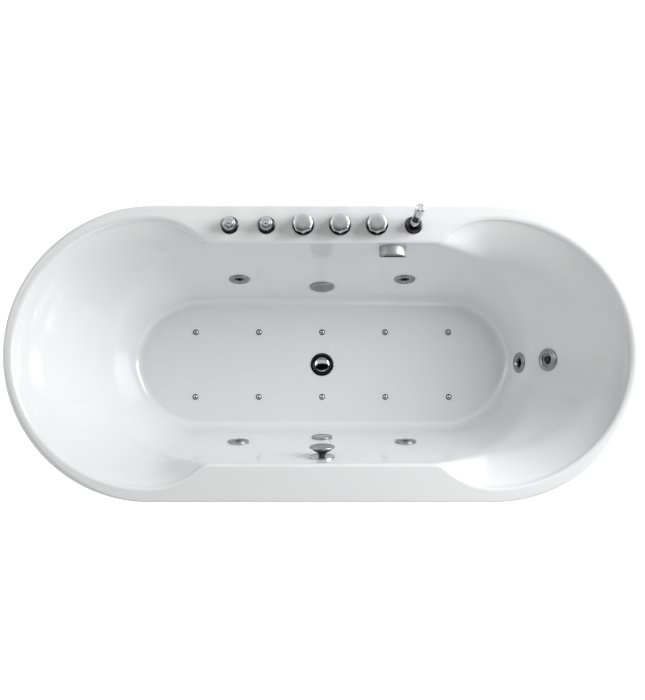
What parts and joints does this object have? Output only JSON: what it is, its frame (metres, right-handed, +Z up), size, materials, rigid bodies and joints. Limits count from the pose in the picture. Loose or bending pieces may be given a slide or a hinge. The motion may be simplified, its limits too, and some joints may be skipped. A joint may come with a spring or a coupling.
{
  "type": "jetted bathtub",
  "caption": "Free-standing oval bathtub with water jets, floor air jets, deck knobs, push switches, hand shower, waterfall spout and pop-up drain.",
  "frame": {"origin": "on the floor under the centre of the tub", "axes": "+Z up, +X towards the foot end with the two end jets, +Y towards the deck with the knobs"},
  "size_m": [1.6998, 0.79, 0.7824],
  "materials": {
    "acrylic": "polished white cast acrylic",
    "acrylic_skirt": "polished white acrylic",
    "chrome": "bright plated",
    "knob_chrome": "bright plated, satin top",
    "dark_chrome": "plated ball",
    "satin_metal": "satin",
    "button_cap": "plated cap",
    "handset_shell": "satin plated plastic",
    "lens": "frosted lens in a plated rim",
    "rubber": "black",
    "brass": "cast and machined",
    "dark_plastic": "moulded black",
    "pipe_plastic": "white pressure pipe",
    "clear_hose": "soft clear hose",
    "cable_jacket": "soft black jacket",
    "board": "sealed board",
    "frame_steel": "galvanised tube",
    "zinc": "zinc plated",
    "motor_paint": "dark enamel",
    "braid": "braided hose",
    "hose_chrome": "metal shower hose"
  },
  "bodies": {
    "tub": {"air_injectors": "chrome", "air_pipes": "clear_hose", "baseboard": "board", "basin_shell": "acrylic", "blower_housing": "dark_plastic", "blower_motor": "motor_paint", "control_box": "pipe_plastic", "drain_body": "dark_plastic", "drain_flange": "chrome", "drain_seal": "rubber", "end_boards": "board", "end_pressure_pipes": "pipe_plastic", "fitting_nuts": "dark_plastic", "foot_pads": "rubber", "foot_studs": "zinc", "jet_bodies": "dark_plastic", "jet_feed_pipes": "pipe_plastic", "jet_rings": "chrome", "light_lens": "lens", "mixing_pipes": "brass", "outer_skirt": "acrylic_skirt", "overflow_body": "dark_plastic", "overflow_pipe": "pipe_plastic", "overflow_plate": "chrome", "plug_cable": "cable_jacket", "pump_housing": "dark_plastic", "pump_motor": "motor_paint", "pump_saddle": "dark_plastic", "shower_holder": "chrome", "side_pressure_pipes": "pipe_plastic", "suction_and_light_bodies": "dark_plastic", "suction_cover": "satin_metal", "suction_pipe": "pipe_plastic", "supply_hoses": "braid", "support_frame": "frame_steel", "switch_housings": "chrome", "switch_tubes": "cable_jacket", "valve_bodies": "chrome", "waste_pipes": "pipe_plastic", "waste_tee": "pipe_plastic", "waterfall_spout": "chrome"},
    "jet_switch": {"jet_switch_button": "button_cap"},
    "air_switch": {"air_switch_button": "button_cap"},
    "hot_tap": {"hot_valve_knob": "knob_chrome"},
    "cold_tap": {"cold_valve_knob": "knob_chrome"},
    "diverter_tap": {"diverter_knob": "knob_chrome"},
    "handset": {"hand_shower": "handset_shell", "shower_hose": "hose_chrome"},
    "plug": {"drain_plug": "chrome", "plug_seal": "rubber"},
    "overflow_dial": {"overflow_knob": "chrome", "overflow_stem": "dark_plastic"},
    "jet_rotor": {"turning_jet_rotor": "chrome"},
    "pump_rotor": {"pump_impeller": "pipe_plastic"},
    "blower_rotor": {"blower_fan": "pipe_plastic"},
    "back_head_ball": {"back_head_nozzle": "dark_chrome"},
    "back_foot_ball": {"back_foot_nozzle": "dark_chrome"},
    "front_head_ball": {"front_head_nozzle": "dark_chrome"},
    "front_foot_ball": {"front_foot_nozzle": "dark_chrome"},
    "foot_end_ball": {"foot_end_nozzle": "dark_chrome"}
  },
  "joints": [
    {"name": "jet_switch_press", "type": "slide", "parent": "tub", "child": "jet_switch", "axis": [0, 0, -1], "range_m": [0, 0.005], "stiffness_N_per_m": 400},
    {"name": "air_switch_press", "type": "slide", "parent": "tub", "child": "air_switch", "axis": [0, 0, -1], "range_m": [0, 0.005], "stiffness_N_per_m": 400},
    {"name": "hot_tap_turn", "type": "hinge", "parent": "tub", "child": "hot_tap", "pos_m": [-0.0502, 0.341, 0.62], "axis": [0, 0, 1], "range_deg": [0, 90]},
    {"name": "cold_tap_turn", "type": "hinge", "parent": "tub", "child": "cold_tap", "pos_m": [0.0482, 0.341, 0.62], "axis": [0, 0, 1], "range_deg": [-90, 0]},
    {"name": "diverter_tap_turn", "type": "hinge", "parent": "tub", "child": "diverter_tap", "pos_m": [0.1466, 0.341, 0.62], "axis": [0, 0, 1], "range_deg": [-45, 45]},
    {"name": "handset_lift", "type": "slide", "parent": "tub", "child": "handset", "axis": [0.0347, 0.0868, 0.9956], "range_m": [0, 0.15], "deforming": ["shower_hose"]},
    {"name": "overflow_turn", "type": "hinge", "parent": "tub", "child": "overflow_dial", "pos_m": [0, -0.26714, 0.52838], "axis": [0, 0.9712, 0.2382], "range_deg": [0, 90]},
    {"name": "plug_rise", "type": "slide", "parent": "tub", "child": "plug", "axis": [0, 0, 1], "range_m": [0, 0.012]},
    {"name": "back_head_swivel", "type": "hinge", "parent": "tub", "child": "back_head_ball", "pos_m": [-0.236, 0.24048, 0.34303], "axis": [1, 0, 0], "range_deg": [-12, 12]},
    {"name": "back_foot_swivel", "type": "hinge", "parent": "tub", "child": "back_foot_ball", "pos_m": [0.236, 0.24048, 0.34303], "axis": [1, 0, 0], "range_deg": [-12, 12]},
    {"name": "front_head_swivel", "type": "hinge", "parent": "tub", "child": "front_head_ball", "pos_m": [-0.236, -0.24048, 0.34303], "axis": [1, 0, 0], "range_deg": [-12, 12]},
    {"name": "front_foot_swivel", "type": "hinge", "parent": "tub", "child": "front_foot_ball", "pos_m": [0.236, -0.24048, 0.34303], "axis": [1, 0, 0], "range_deg": [-12, 12]},
    {"name": "foot_end_swivel", "type": "hinge", "parent": "tub", "child": "foot_end_ball", "pos_m": [0.58204, 0, 0.24472], "axis": [0, 1, 0], "range_deg": [-12, 12]},
    {"name": "jet_rotor_spin", "type": "hinge", "parent": "tub", "child": "jet_rotor", "pos_m": [0.64124, 0, 0.354], "axis": [-0.7772, 0, 0.6292], "continuous": true},
    {"name": "pump_spin", "type": "hinge", "parent": "tub", "child": "pump_rotor", "pos_m": [-0.655, 0.02, 0.096], "axis": [0, 1, 0], "continuous": true},
    {"name": "blower_spin", "type": "hinge", "parent": "tub", "child": "blower_rotor", "pos_m": [0.655, 0, 0.06], "axis": [0, 0, 1], "continuous": true}
  ],
  "couplings": [
    {"joint": "plug_rise", "follows": "overflow_turn", "m_per_rad": 0.0076394}
  ]
}
